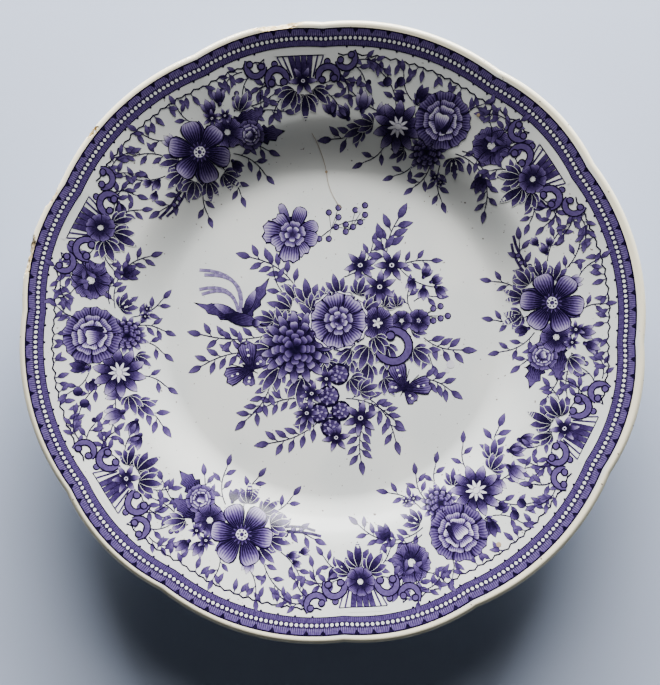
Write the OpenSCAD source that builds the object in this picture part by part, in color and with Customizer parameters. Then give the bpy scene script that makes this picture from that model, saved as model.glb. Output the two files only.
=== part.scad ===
// Printed earthenware dinner plate: a pressed clay body with a foot ring and a
// gently lobed rim, transfer prints laid on the clay, and a clear glaze over all.
// Millimetres. The origin is on the table, at the middle of the foot ring; +Z is up.

/* [Plate] */
// Greatest distance across the rim, over the glaze
plate_d = 250; // [240:1:260]
// Height of the lip's highest point above the table
plate_h = 28; // [26:0.5:30]
// Depth of the dips between the rim's lobes
lobe_dip = 1.6; // [1:0.1:2]
// Thickness of the lip, over the glaze
lip_t = 3.6; // [3.2:0.1:4.2]

/* [Well and shoulder] */
// Radius of the flat floor of the well
well_r = 67; // [65:0.5:69]
// Radius at which the cavetto turns into the rim
shoulder_r = 88; // [86:0.5:90]
// Thickness of the well's floor, over the glaze
well_t = 4.6; // [4.2:0.1:5.4]
// Rise of the rim from shoulder to lip
rim_rise = 11; // [10:0.1:12]

/* [Foot ring] */
// Radius of the middle of the foot ring
foot_r = 70; // [69:0.5:71]
// Height of the hollow under the well
foot_h = 3.6; // [3.2:0.1:4.4]
// Width of the unglazed band that the plate stands on
foot_w = 2.4; // [2:0.1:3]

/* [Glaze and print] */
// Thickness of the clear glaze
glaze_t = 0.3; // [0.26:0.01:0.36]
// Thickness given to the printed ink
ink_t = 0.1; // [0.06:0.01:0.14]
// Height above the table at which the glaze stops on the foot ring
glaze_line = 0.9; // [0.7:0.1:1.4]
// White beads in each third of the rim print
bead_count = 124; // [96:2:130]

/* [Hidden] */
$fn = 96;
tip_r = plate_d / 2;
dip_r = tip_r - lobe_dip;
well_z = foot_h + well_t;             // face of the well
slope = rim_rise / (tip_r - shoulder_r);
tilt = atan(slope);
shoulder_z = plate_h - rim_rise;
cavetto_run = shoulder_r - well_r;
cavetto_rise = shoulder_z - well_z;
cavetto_steps = 9;
lobes = [[14.5, 17.5], [44.5, 12.5]]; // middle and half width in degrees, six times round

nose_r = lip_t / 2;                   // rounding of the lip
nose_at = tip_r + 0.4 - nose_r;       // it stands just past the lobes, which trim it
nose_steps = 8;
foot_taper = 1.1;                     // each wall of the foot ring leans out by this much
foot_edge = 1.3;                      // up to this height, and then runs to the back
foot_root = 3.2;                      // this far from the standing band
back_step = 4;                        // first step of the cavetto outside the foot ring

strip_turns = [0, 120, 240];          // the rim print is three equal lengths of one strip
strip_mid = 49;                       // angle of the middle of the first length
strip_half = 60;
band_out = tip_r - 2.9;               // printed bands of the rim
band_in = band_out - 7.3;
bead_row_r = band_out - 4.2;
bead_size = 0.62;
vine_r = band_in - 2.8;
line_w = 0.5;

// ---- The dish: a face, a lip, a back and a foot ring turned about Z ----

// The cavetto is a cubic that leaves the well flat and meets the rim's slope; t goes 0 to 1
function cavetto_r(t) = well_r + t * cavetto_run;
function cavetto_z(t) = well_z + cavetto_rise * (3 * t * t - 2 * t * t * t)
    + cavetto_run * slope * (t * t * t - t * t);
function cavetto_slope(t) = 6 * cavetto_rise / cavetto_run * (t - t * t)
    + slope * (3 * t * t - 2 * t);
function rim_z(r) = shoulder_z + slope * (r - shoulder_r);
function wall_t(r) = well_t + (lip_t - well_t) * (r - well_r) / (tip_r - well_r);

// A point moved down by g, measured square to a surface of slope s
function sunk(r, z, s, g) = [r, z - g * sqrt(1 + s * s)];

// The face from the middle out to the shoulder, and the lip round from face to back
function face(g) = concat(
    [[0, well_z - g]],
    [for (i = [0 : cavetto_steps]) let (t = i / cavetto_steps)
        sunk(cavetto_r(t), cavetto_z(t), cavetto_slope(t), g)]);

function lip(g) = [for (i = [0 : nose_steps]) let (a = 90 + tilt - 180 * i / nose_steps)
    [nose_at + nose_r * sin(tilt) + (nose_r - g) * cos(a),
     rim_z(nose_at) - nose_r * cos(tilt) + (nose_r - g) * sin(a)]];

function back(g) = [for (i = [cavetto_steps : -1 : back_step]) let (t = i / cavetto_steps)
    sunk(cavetto_r(t), cavetto_z(t) - wall_t(cavetto_r(t)), cavetto_slope(t), -g)];

function foot(g) = let (half = foot_w / 2) [
    [foot_r + half + foot_root - g, foot_h + 0.9 + g],
    [foot_r + half + foot_taper - g, foot_edge],
    [foot_r + half, 0],
    [foot_r - half, 0],
    [foot_r - half - foot_taper + g, foot_edge],
    [foot_r - half - foot_root + g, foot_h + g],
    [0, foot_h + g]];

module dish(g) {
    rotate_extrude() polygon(concat(face(g), lip(g), back(g), foot(g)));
}

// ---- The lobed outline: twelve circles, each standing off the axis ----

// How far a lobe's own centre stands from the axis, for its tip and its dips to fit
function lobe_offset(half) =
    (tip_r * tip_r - dip_r * dip_r) / (2 * (tip_r - dip_r * cos(half)));

module lobed_outline(g) {
    for (lobe = lobes, k = [0 : 5])
        rotate(lobe[0] + 60 * k)
            translate([lobe_offset(lobe[1]), 0])
                circle(tip_r - lobe_offset(lobe[1]) - g, $fn = 360);
}

// The whole plate at depth g below the glazed surface
module plate_solid(g) {
    intersection() {
        dish(g);
        translate([0, 0, -1]) linear_extrude(plate_h + 5) lobed_outline(g);
    }
}

// ---- Chips at the lip: [angle, length along the lip, depth into it] ----
chips = [[100.5, 20, 1.5], [166.5, 17, 1.4], [153, 6, 0.9]];

// A chip is a shallow bite by a large ball; grow makes the glaze's bite wider than the clay's
module chip_bites(grow) {
    for (c = chips) let (r = c[1] * c[1] / 8 / c[2])
        rotate(c[0])
            translate([(tip_r + dip_r) / 2 - c[2] - grow + r, 0, plate_h - 0.4 * lip_t])
                sphere(r);
}

// ---- Flat motifs of the print, drawn about their own middles ----

// Pointed leaf along +X
module leaf(length, width) {
    r = (length * length + width * width) / (4 * width);
    intersection() {
        translate([length / 2, width / 2 - r]) circle(r);
        translate([length / 2, r - width / 2]) circle(r);
    }
}

// Ring of round petals about a pierced eye
module blossom(petals, size) {
    difference() {
        union() {
            circle(0.6 * size);
            for (i = [0 : petals - 1])
                rotate(360 * i / petals) translate([0.66 * size, 0]) circle(0.34 * size);
        }
        difference() {
            circle(0.3 * size);
            circle(0.18 * size);
        }
    }
}

// Pointed petals about a pierced eye
module star(petals, size) {
    difference() {
        union() {
            circle(0.34 * size);
            for (i = [0 : petals - 1])
                rotate(360 * i / petals) translate([0.13 * size, 0])
                    leaf(0.87 * size, 0.4 * size);
        }
        circle(0.17 * size);
    }
}

// Twig along +X with two pairs of leaves and one at its end
module twig(length) {
    step = length / 3;
    translate([0, -line_w / 2]) square([2.3 * step, line_w]);
    for (i = [0.4, 1.4], side = [-1, 1])
        translate([i * step, 0]) rotate(side * 38) leaf(1.15 * step, 0.42 * step);
    translate([2 * step, 0]) leaf(step, 0.4 * step);
}

// C-scroll open towards +X, with a ball at each end
module scroll(size) {
    difference() {
        circle(size);
        translate([0.12 * size, 0]) circle(0.72 * size);
        translate([0.3 * size, -size]) square(2 * size);
    }
    for (side = [-1, 1]) translate([0.36 * size, side * 0.8 * size]) circle(0.24 * size);
}

// Small bird flying towards +X, with two wings and a forked tail
module bird(size) {
    leaf(size, 0.36 * size);
    translate([0.95 * size, 0.03 * size]) circle(0.13 * size);
    translate([0.6 * size, 0.1 * size]) rotate(125) leaf(0.85 * size, 0.34 * size);
    translate([0.45 * size, -0.02 * size]) rotate(190) leaf(0.95 * size, 0.26 * size);
    for (turn = [132, 150]) rotate(turn) leaf(0.85 * size, 0.11 * size);
}

module butterfly(size) {
    for (side = [-1, 1]) {
        rotate(side * 48) leaf(size, 0.55 * size);
        rotate(side * 115) leaf(0.7 * size, 0.45 * size);
    }
    translate([-0.45 * size, 0]) leaf(0.9 * size, 0.2 * size);
}

// One motif by kind
module motif(kind, size, turn) {
    rotate(turn) {
        if (kind == "peony") blossom(9, size);
        if (kind == "round") blossom(5, size);
        if (kind == "daisy") star(8, size);
        if (kind == "twig") twig(size);
        if (kind == "scroll") scroll(size);
        if (kind == "bird") bird(size);
        if (kind == "fly") butterfly(size);
    }
}

// ---- The rim strip: rows are [kind, degrees from the spray's middle, radius, size, turn] ----
spray_a = [
    ["peony", -5, 97, 10.5, 0], ["daisy", 5, 86, 8, 10], ["round", -17.5, 99, 6.5, 20],
    ["twig", 11.5, 86, 14, 95], ["twig", 4, 101, 13, 40], ["twig", -10, 84, 16, 250]];
spray_b = [
    ["peony", 0, 90, 11.5, 15], ["round", 3.5, 105, 5.5, 0], ["daisy", -4.5, 76, 6.5, 0],
    ["twig", 8, 92, 17, 75], ["twig", 10, 82, 15, 105], ["twig", -8, 92, 15, 285]];
sprays = [[6, spray_b], [66.5, spray_a]];
cartouches = [[36.5, "round"], [96.5, "daisy"]];

// One strip's share of the ring between two radii
module rim_sector(r_out, r_in) {
    reach = 2 * r_out;
    intersection() {
        difference() {
            circle(r_out, $fn = 360);
            circle(r_in, $fn = 360);
        }
        rotate(strip_mid) polygon([
            [0, 0],
            [reach * cos(strip_half), -reach * sin(strip_half)],
            [reach, 0],
            [reach * cos(strip_half), reach * sin(strip_half)]]);
    }
}

module bands() {
    difference() {
        rim_sector(band_out, band_in);
        for (i = [0 : bead_count - 1])
            rotate(strip_mid - strip_half + 2 * strip_half * (i + 0.5) / bead_count)
                translate([bead_row_r, 0]) circle(bead_size, $fn = 24);
    }
}

module cartouche(kind) {
    translate([102, 0]) {
        motif(kind, 7.5, 0);
        for (side = [-1, 1]) {
            translate([4.4, side * 15]) rotate(side * -100) scroll(4.6);
            translate([-3, side * 8]) rotate(side * 100) leaf(8, 3);
        }
    }
}

module rim_pattern() {
    bands();
    rim_sector(vine_r, vine_r - line_w);
    for (c = cartouches) rotate(c[0]) cartouche(c[1]);
    for (s = sprays, m = s[1])
        rotate(s[0] + m[1]) translate([m[2], 0]) motif(m[0], m[3], m[4]);
}

// ---- The centre bouquet: rows are [kind, x, y, size, turn] ----
bouquet = [
    ["peony", 3, 4, 10.5, 0], ["daisy", -15, -8, 12, 0], ["daisy", -17, 36, 12.5, 20],
    ["round", 19, 3, 6.5, 0], ["round", 28, 3, 4.8, 0], ["daisy", 11, 26, 6, 10],
    ["daisy", 24, 26, 6, 30], ["daisy", 19, 17, 6, 0], ["scroll", 23, -8, 6.5, 240],
    ["bird", -46, 6, 16, -8], ["fly", 27, -24, 8, 60], ["daisy", -3, -21, 4.5, 0],
    ["daisy", -8, -31, 5, 0], ["round", 14, -34, 4.5, 0], ["daisy", 2, -38, 4.5, 15],
    ["twig", -4, 43, 16, 70], ["twig", -28, 30, 16, 150], ["twig", 20, 33, 15, 80],
    ["twig", 31, 24, 16, 20], ["twig", 35, 8, 15, -10], ["twig", 33, -10, 17, -35],
    ["twig", 18, -38, 15, -75], ["twig", 0, -42, 13, -100], ["twig", -12, -36, 15, -120],
    ["twig", -24, -20, 17, -155], ["twig", -30, -6, 18, 185], ["twig", -18, 14, 14, 140],
    ["twig", 4, 16, 14, 95]];

module centre_pattern() {
    for (m = bouquet) translate([m[1], m[2]]) motif(m[0], m[3], m[4]);
}

// ---- The pieces ----

// The layer between two depths below the face, from the middle out to radius r
module face_layer(top, bottom, r) {
    over = concat(face(top), [sunk(r, rim_z(r), slope, top)]);
    under = concat(face(bottom), [sunk(r, rim_z(r), slope, bottom)]);
    rotate_extrude() polygon(concat(over, [for (i = [len(under) - 1 : -1 : 0]) under[i]]));
}

module clay_body() {
    color("wheat") difference() {
        plate_solid(glaze_t);
        chip_bites(0);
    }
}

// The glaze runs over the ink, so its underside is hollowed by one thickness of ink
module glaze() {
    color("ghostwhite") difference() {
        plate_solid(0);
        plate_solid(glaze_t);
        translate([0, 0, -1]) cylinder(r = foot_r + 6, h = glaze_line + 1);
        face_layer(glaze_t - ink_t, glaze_t + ink_t, band_out + 0.2);
        chip_bites(0.8);
    }
}

module rim_print(turn) {
    color("slateblue") rotate(turn) intersection() {
        face_layer(glaze_t - ink_t, glaze_t, band_out + 0.1);
        linear_extrude(plate_h + 5) rim_pattern();
    }
}

module centre_print() {
    color("darkslateblue") translate([0, 0, well_z - glaze_t])
        linear_extrude(ink_t) centre_pattern();
}

clay_body();
glaze();
rim_print(strip_turns[0]);  // rim_print_1
rim_print(strip_turns[1]);  // rim_print_2
rim_print(strip_turns[2]);  // rim_print_3
centre_print();
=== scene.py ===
# %% [markdown]
# # A printed earthenware plate
#
# The real plate is one pressed piece of cream clay. Engraved prints are pulled on thin tissue, rubbed
# on to the fired clay, and covered with a clear glaze. This lesson makes it in the same order: the clay,
# the glaze over it, then the prints, which are drawn flat as many small inked shapes and pressed on to
# the dish. The frame is loaded first, and nothing in it is moved.

# %% Load the frame
import math

import bmesh
import bpy
import numpy as np
from mathutils import Matrix, Vector


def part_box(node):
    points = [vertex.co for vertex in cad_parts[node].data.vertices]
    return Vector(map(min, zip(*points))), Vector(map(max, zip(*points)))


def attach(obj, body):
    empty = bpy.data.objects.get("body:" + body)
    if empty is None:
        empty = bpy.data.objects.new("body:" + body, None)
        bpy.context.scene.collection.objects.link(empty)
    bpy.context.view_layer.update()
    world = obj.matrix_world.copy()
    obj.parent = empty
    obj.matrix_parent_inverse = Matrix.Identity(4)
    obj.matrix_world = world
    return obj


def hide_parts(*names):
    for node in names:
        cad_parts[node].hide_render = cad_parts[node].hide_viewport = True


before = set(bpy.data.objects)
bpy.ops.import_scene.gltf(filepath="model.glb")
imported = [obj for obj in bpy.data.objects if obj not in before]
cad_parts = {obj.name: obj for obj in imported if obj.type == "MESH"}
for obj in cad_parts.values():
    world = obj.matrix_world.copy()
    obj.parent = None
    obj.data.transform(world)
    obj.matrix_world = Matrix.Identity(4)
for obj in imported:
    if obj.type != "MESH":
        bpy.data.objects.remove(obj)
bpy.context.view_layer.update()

bpy.ops.object.select_all(action="DESELECT")

# %% [markdown]
# ## The numbers that drive everything
#
# Lengths are written in millimetres and turned into metres by MM. The height and the widest radius are
# measured on the frame, so that the lesson can't drift away from the design. The other radii describe
# the dish: a flat well, a curved wall called the cavetto, and a broad sloping rim.

# %% Sizes
MM = 0.001
glaze_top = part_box("glaze")[1]
PLATE_H = glaze_top[2]
TIP_R = max(v.co.xy.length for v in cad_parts["glaze"].data.vertices)
WELL_R = 67 * MM
SHOULDER_R = 88 * MM
WELL_Z = 8.2 * MM
WALL_WELL = 4.6 * MM
WALL_LIP = 3.6 * MM
RIM_RISE = 11 * MM
GLAZE = 0.3 * MM
SLOPE = RIM_RISE / (TIP_R - SHOULDER_R)
SHOULDER_Z = 17 * MM
LOBE_DIP = 1.6 * MM
LIP_R = TIP_R - LOBE_DIP / 3
print("height", round(PLATE_H, 4), "widest radius", round(TIP_R, 4), "rim slope", round(SLOPE, 3))

# %% [markdown]
# ## Small helpers
#
# An operator acts on whatever is selected. `only` selects one object, and `pick` selects vertices in
# edit mode by their place, which is how a hand would click on a row of them.

# %% Helpers for selecting and editing
def only(obj):
    bpy.ops.object.select_all(action="DESELECT")
    obj.select_set(True)
    bpy.context.view_layer.objects.active = obj


def pick(obj, wanted):
    shape = bmesh.from_edit_mesh(obj.data)
    for vertex in shape.verts:
        vertex.select = wanted(vertex.co)
    shape.select_flush_mode()
    bmesh.update_edit_mesh(obj.data)


def edit_mode():
    bpy.ops.object.mode_set(mode="EDIT")


def object_mode():
    bpy.ops.object.mode_set(mode="OBJECT")


def remove(obj):
    bpy.data.objects.remove(obj, do_unlink=True)


# %% [markdown]
# ## The shape of the dish as a formula
#
# The wall between well and rim is a cubic curve: it leaves the well flat and arrives at the shoulder
# with the rim's own slope, so no crease shows. The same formula later presses the prints on to the
# face, which is why it is kept as a function and not only as a mesh. The rim's outline is a circle with
# soft lobes, a wide one and a narrow one by turns, six times round. They fade out toward the shoulder.

# %% Formulas of the face
FIRST_DIP = -3
WIDE_HALF = 17.5
NARROW_HALF = 12.5
FADE_FROM = 90 * MM
FADE_TO = 108 * MM


def face_z(r):
    t = np.clip((r - WELL_R) / (SHOULDER_R - WELL_R), 0, 1)
    rise = SHOULDER_Z - WELL_Z
    wall = WELL_Z + rise * (3 * t**2 - 2 * t**3)
    wall = wall + (SHOULDER_R - WELL_R) * SLOPE * (t**3 - t**2)
    return np.where(r > SHOULDER_R, SHOULDER_Z + SLOPE * (r - SHOULDER_R), wall)


def face_slope(r):
    t = np.clip((r - WELL_R) / (SHOULDER_R - WELL_R), 0, 1)
    steep = 6 * (SHOULDER_Z - WELL_Z) / (SHOULDER_R - WELL_R) * (t - t**2)
    return np.where(r > SHOULDER_R, SLOPE, steep + SLOPE * (3 * t**2 - 2 * t))


def wall_t(r):
    return WALL_WELL + (WALL_LIP - WALL_WELL) * (r - WELL_R) / (TIP_R - WELL_R)


def lobe(angle, r):
    """The factor that moves a point out at the top of a lobe and in at the dip between two."""
    turn = np.mod(np.degrees(angle) - FIRST_DIP, 2 * (WIDE_HALF + NARROW_HALF))
    wide = (turn - WIDE_HALF) / WIDE_HALF
    narrow = (turn - 2 * WIDE_HALF - NARROW_HALF) / NARROW_HALF
    wave = LOBE_DIP * (1 / 3 - np.where(turn < 2 * WIDE_HALF, wide, narrow) ** 2)
    t = np.clip((r - FADE_FROM) / (FADE_TO - FADE_FROM), 0, 1)
    return 1 + (3 * t**2 - 2 * t**3) * wave / LIP_R


print("depth of the well below the lip", round(PLATE_H - WELL_Z, 4))

# %% [markdown]
# ## Turning the clay and the glaze
#
# A potter's template is turned round the wheel, and Blender's Spin does the same: a line of points is
# drawn with extrude, spun once about Z, and its seam and poles are closed by merging doubles. Spin can
# turn a shape inside out, so the normals are recalculated. The lobes die away toward the shoulder, and
# no operator does that, so the spun points are moved outward by the formula above.

# %% Drawing a line and spinning it
TURNS = 360


def spun(name, line):
    bpy.ops.mesh.primitive_plane_add(size=MM)
    obj = bpy.context.object
    obj.name = name
    edit_mode()
    bpy.ops.mesh.merge(type="CENTER")
    r, z = line[0]
    bpy.ops.transform.translate(value=(r, 0, z))
    for r1, z1 in line[1:]:
        step = (r1 - r, 0, z1 - z)
        bpy.ops.mesh.extrude_vertices_move(TRANSFORM_OT_translate={"value": step})
        r, z = r1, z1
    bpy.ops.mesh.select_all(action="SELECT")
    bpy.ops.mesh.spin(steps=TURNS, angle=2 * math.pi, center=(0, 0, 0), axis=(0, 0, 1))
    bpy.ops.mesh.select_all(action="SELECT")
    bpy.ops.mesh.remove_doubles(threshold=0.01 * MM)
    bpy.ops.mesh.normals_make_consistent(inside=False)
    object_mode()
    return obj


def give_lobes(obj):
    mesh = obj.data
    at = np.empty(len(mesh.vertices) * 3)
    mesh.vertices.foreach_get("co", at)
    at = at.reshape(-1, 3)
    r = np.hypot(at[:, 0], at[:, 1])
    at[:, :2] *= lobe(np.arctan2(at[:, 1], at[:, 0]), r)[:, None]
    mesh.vertices.foreach_set("co", at.ravel())
    mesh.update()


# %% The line from the foot ring round the lip to the middle of the face
FOOT_R = 70 * MM
FOOT_W = 2.4 * MM
FOOT_H = 3.6 * MM
FOOT_TAPER = 1.1 * MM
FOOT_EDGE = 1.3 * MM
FOOT_ROOT = 3.2 * MM
GLAZE_LINE = 0.9 * MM
NOSE_R = WALL_LIP / 2
TILT = math.atan(SLOPE)
WALL_STEPS = 18
RIM_STEPS = 12


def sunk(r, z, slope, depth):
    return r, z - depth * math.sqrt(1 + slope**2)


def wall_line(depth, back):
    points = []
    for i in range(WALL_STEPS + 1):
        r = WELL_R + (SHOULDER_R - WELL_R) * i / WALL_STEPS
        z = float(face_z(r)) - (float(wall_t(r)) if back else 0)
        points.append(sunk(r, z, float(face_slope(r)), -depth if back else depth))
    return points


def lip_line(depth):
    at = LIP_R - NOSE_R
    middle_r = at + NOSE_R * math.sin(TILT)
    middle_z = float(face_z(at)) - NOSE_R * math.cos(TILT)
    points = []
    for i in range(13):
        a = math.pi / 2 + TILT - math.pi * i / 12
        points.append((middle_r + (NOSE_R - depth) * math.cos(a), middle_z + (NOSE_R - depth) * math.sin(a)))
    return points


def between(a, b, steps):
    return [(a[0] + (b[0] - a[0]) * i / steps, a[1] + (b[1] - a[1]) * i / steps) for i in range(1, steps)]


def face_line(depth):
    """From the middle of the face out to the lip and round on to the back, down to the foot ring."""
    wall = wall_line(depth, False)
    lip = lip_line(depth)
    back = [p for p in wall_line(depth, True)[::-1] if p[0] > FOOT_R + 6 * MM]
    well = [(MM * r, WELL_Z - depth) for r in (0, 8, 20, 32, 44, 56, 62)]
    rim = between(wall[-1], lip[0], RIM_STEPS)
    under = between(lip[-1], back[0], 6)
    return well + wall + rim + lip + under + back


half = FOOT_W / 2
FOOT_OUT = [(FOOT_R + half + FOOT_ROOT, FOOT_H + 0.9 * MM), (FOOT_R + half + FOOT_TAPER, FOOT_EDGE)]
FOOT_IN = [(FOOT_R - half - FOOT_TAPER, FOOT_EDGE), (FOOT_R - half - FOOT_ROOT, FOOT_H)]
print("points in the face line", len(face_line(0)))

# %% [markdown]
# ## The clay body
#
# The clay is the whole closed solid, one thickness of glaze inside the finished surface. Only its
# standing band and the chips ever show, but a chip needs something real behind it.

# %% Clay
CLAY_IN = GLAZE + 0.02 * MM
clay_line = face_line(CLAY_IN)
clay_line += [(FOOT_OUT[0][0] - GLAZE, FOOT_OUT[0][1] + GLAZE), (FOOT_OUT[1][0] - GLAZE, FOOT_EDGE)]
clay_line += [(FOOT_R + half + 0.25 * MM, 0.25 * MM), (FOOT_R + half, 0), (FOOT_R - half, 0)]
clay_line += [(FOOT_R - half - 0.25 * MM, 0.25 * MM), (FOOT_IN[0][0] + GLAZE, FOOT_EDGE)]
clay_line += [(FOOT_IN[1][0] + GLAZE, FOOT_H + CLAY_IN), (0, FOOT_H + CLAY_IN)]
clay = spun("clay_dish", clay_line)
give_lobes(clay)
print("clay faces", len(clay.data.polygons))

# %% [markdown]
# ## The glaze
#
# Glaze is a skin. Its outer surface is spun as two open sheets, one over face, lip and back, and one
# under the well inside the foot ring, because the standing band is wiped clean before firing. Solidify
# then gives both sheets their thickness inward, which also closes their edges.

# %% Glaze
outer_line = face_line(0) + FOOT_OUT + [(FOOT_R + half + 0.7 * MM, GLAZE_LINE)]
inner_line = [(FOOT_R - half - 0.7 * MM, GLAZE_LINE)] + FOOT_IN + [(MM * r, FOOT_H) for r in (50, 25, 0)]
skin = spun("glaze_skin", outer_line)
under = spun("under_skin", inner_line)
only(skin)
under.select_set(True)
bpy.ops.object.join()
glaze = bpy.context.object
give_lobes(glaze)
only(glaze)
thickness = glaze.modifiers.new("thickness", "SOLIDIFY")
thickness.thickness = GLAZE
thickness.offset = -1
bpy.ops.object.modifier_apply(modifier="thickness")
print("glaze faces", len(glaze.data.polygons), "box", [round(x, 4) for x in glaze.dimensions])

# %% [markdown]
# ## Chips at the lip
#
# A chip is a shallow shell-shaped bite. A ball with a noisy surface is cut out of the lip with a
# Boolean, a slightly bigger one out of the glaze than out of the clay, so that a rim of bare clay shows.

# %% Chips
# Each chip: its angle in degrees, half its length and its depth in millimetres
CHIPS = [(100, 13, 2.9), (167, 9, 2.6), (155, 4.5, 1.9), (141, 3, 1.6)]
CHIP_FLAT = 0.45
CHIP_TALL = 2.8 * MM
crumble = bpy.data.textures.new("crumble", "CLOUDS")
crumble.noise_scale = 1.6 * MM


def bite(piece, degrees, half_long, deep, extra):
    a = math.radians(degrees)
    out = TIP_R + (half_long * CHIP_FLAT - deep - extra) * MM
    place = (out * math.cos(a), out * math.sin(a), SHOULDER_Z + RIM_RISE - 1.0 * MM)
    bpy.ops.mesh.primitive_ico_sphere_add(subdivisions=5, radius=1, location=place, rotation=(0, 0, a))
    ball = bpy.context.object
    ball.scale = (half_long * CHIP_FLAT * MM, (half_long + extra) * MM, CHIP_TALL)
    bpy.ops.object.transform_apply(location=True, rotation=True, scale=True)
    rough = ball.modifiers.new("rough", "DISPLACE")
    rough.texture = crumble
    rough.strength = 1.6 * MM
    only(piece)
    cut = piece.modifiers.new("bite", "BOOLEAN")
    cut.operation = "DIFFERENCE"
    cut.object = ball
    bpy.ops.object.modifier_apply(modifier="bite")
    remove(ball)


for degrees, half_long, deep in CHIPS:
    bite(clay, degrees, half_long, deep, 0)
    bite(glaze, degrees, half_long, deep, 0.5)
print("after the chips", len(clay.data.polygons), len(glaze.data.polygons))

# %% [markdown]
# ## Shapes an engraver uses
#
# The print is hundreds of small shapes: leaves, petals, dots and bars. Each kind is modelled once, from
# a grid whose rows are widened or narrowed one by one. A grid brings its own UV map, 0 to 1 across and
# 0 to 1 from root to tip, which stays with the shape through every copy. The ink material uses it to
# shade a petal from its dark root to its pale edge.

# %% Shape templates
def shape(name, columns, places, widths):
    rows = len(widths) - 1
    bpy.ops.mesh.primitive_grid_add(x_subdivisions=columns, y_subdivisions=rows, size=1, location=(0, 10, 0))
    bpy.ops.object.transform_apply(location=True)
    obj = bpy.context.object
    obj.name = name
    edit_mode()
    for i in range(rows + 1):
        y = 9.5 + i / rows
        pick(obj, lambda co: abs(co.y - y) < 0.01)
        bpy.ops.transform.resize(value=(max(widths[i], 0.01), 1, 1), center_override=(0, y, 0))
        bpy.ops.transform.translate(value=(0, places[i] - y, 0))
    object_mode()
    return obj


def wave_the_tip(obj, width, drops):
    """Pull the points of the last row down by different amounts, so the petal ends in small lobes."""
    only(obj)
    edit_mode()
    for i, drop in enumerate(drops):
        x = width * (i / (len(drops) - 1) - 0.5)
        pick(obj, lambda co: co.y > 0.9 and abs(co.x - x) < 0.03)
        bpy.ops.transform.translate(value=(0, -drop, 0))
    object_mode()


shapes = {
    "leaf": shape("leaf", 2, [0, 0.2, 0.36, 0.56, 0.8, 1], [0.12, 0.16, 0.8, 1, 0.62, 0]),
    "blade": shape("blade", 4, [0, 0.16, 0.34, 0.54, 0.72, 0.88, 1], [0.25, 0.6, 0.9, 1, 0.82, 0.45, 0]),
    "petal": shape("petal", 4, [0, 0.2, 0.4, 0.6, 0.78, 0.92, 1], [0.2, 0.48, 0.76, 0.96, 1, 0.8, 0.3]),
    "frill": shape("frill", 4, [0, 0.22, 0.44, 0.64, 0.82, 1], [0.2, 0.46, 0.74, 0.94, 1, 0.84]),
    "spear": shape("spear", 2, [0, 0.2, 0.45, 0.75, 1], [0.5, 0.85, 1, 0.6, 0]),
    "fern": shape("fern", 2, [0, 0.15, 0.24, 0.42, 0.5, 0.68, 0.75, 1],
                  [0.1, 0.9, 0.6, 1, 0.62, 0.8, 0.4, 0]),
    "disc": shape("disc", 2, [0, 0.1, 0.3, 0.5, 0.7, 0.9, 1], [0, 0.6, 0.92, 1, 0.92, 0.6, 0]),
    "bar": shape("bar", 1, [0, 1], [1, 1]),
    "tooth": shape("tooth", 1, [0, 1], [1, 0]),
}
wave_the_tip(shapes["frill"], 0.84, [0.16, 0.02, 0.1, 0.02, 0.16])
for corner in shapes["bar"].data.uv_layers.active.data:
    corner.uv.y *= 0.8
print("shapes", list(shapes))

# %% [markdown]
# ## Drawing with the shapes
#
# A drawing is a list of strokes in millimetres: which shape, where its root is, which way it points, how
# long and wide it is, and its tones. A tone is four numbers: the ink at the root, the ink at the tip,
# the outline, and how strong the fine engraved lines are. The functions below build up from a single
# leaf to a twig and a whole flower head, drawn from the back to the front.

# %% Strokes, lines and twigs
DARK = (1.0, 0.58, 1.0, 0.45)
MID = (1.0, 0.3, 1.0, 0.55)
SOFT = (0.85, 0.12, 0.9, 0.5)
PALE = (0.85, 0.06, 0.9, 0.45)
BLUSH = (1.0, 0.3, 1.0, 0.6)
SEED = (0.5, 0.3, 0.6, 0.2)
VEINED = (0.95, 0.5, 1.0, 0.6)
LEAF = (0.78, 0.52, 1.0, 0.4)
GREY = (0.8, 0.62, 1.0, 0.25)
ROW = (1.0, 0.42, 1.0, 0.2)
PLUME = (0.5, 0.3, 0.6, 0.5)
LINE = (0.9, 0.9, 0.9, 0.0)
SOLID = (0.95, 0.95, 0.95, 0.0)
BERRY = (0.65, 0.45, 0.6, 0.1)
SCROLL = (0.56, 0.56, 1.0, 0.0)
SMUDGE = (0.13, 0.1, 0.0, 0.2)
WHITE = (0.0, 0.0, 0.0, 0.0)
EYE = (0.1, 0.1, 0.7, 0.0)


def put(kind, x, y, turn, length, width, tone):
    return [(kind, x, y, turn, length, width, tone)]


def leaf(x, y, turn, length, tone=LEAF):
    return put("leaf", x, y, turn, 1.36 * length, 0.5 * length, tone)


def dot(x, y, r, tone=LINE):
    return put("disc", x - r, y, 0, 2 * r, 2 * r, tone)


def berry(x, y, r, tone=BERRY):
    """A ball with a dark outline and a paler middle."""
    return dot(x, y, r, SOLID) + dot(x, y, 0.72 * r, tone)


def curve(x0, y0, x1, y1, bend, steps):
    points = []
    for i in range(steps + 1):
        t = i / steps
        side = 4 * bend * t * (1 - t)
        points.append((x0 + (x1 - x0) * t - (y1 - y0) * side, y0 + (y1 - y0) * t + (x1 - x0) * side))
    return points


def line(points, width=0.32, tone=LINE):
    strokes = []
    for (xa, ya), (xb, yb) in zip(points, points[1:]):
        turn = math.degrees(math.atan2(yb - ya, xb - xa))
        strokes += put("bar", xa, ya, turn, math.hypot(xb - xa, yb - ya) + 0.3 * width, width, tone)
    return strokes


def arc(x, y, r, start, end, width, tone=SCROLL):
    steps = max(4, int(abs(end - start) / 18))
    turns = [math.radians(start + (end - start) * i / steps) for i in range(steps + 1)]
    return line([(x + r * math.cos(a), y + r * math.sin(a)) for a in turns], width, tone)


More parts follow.
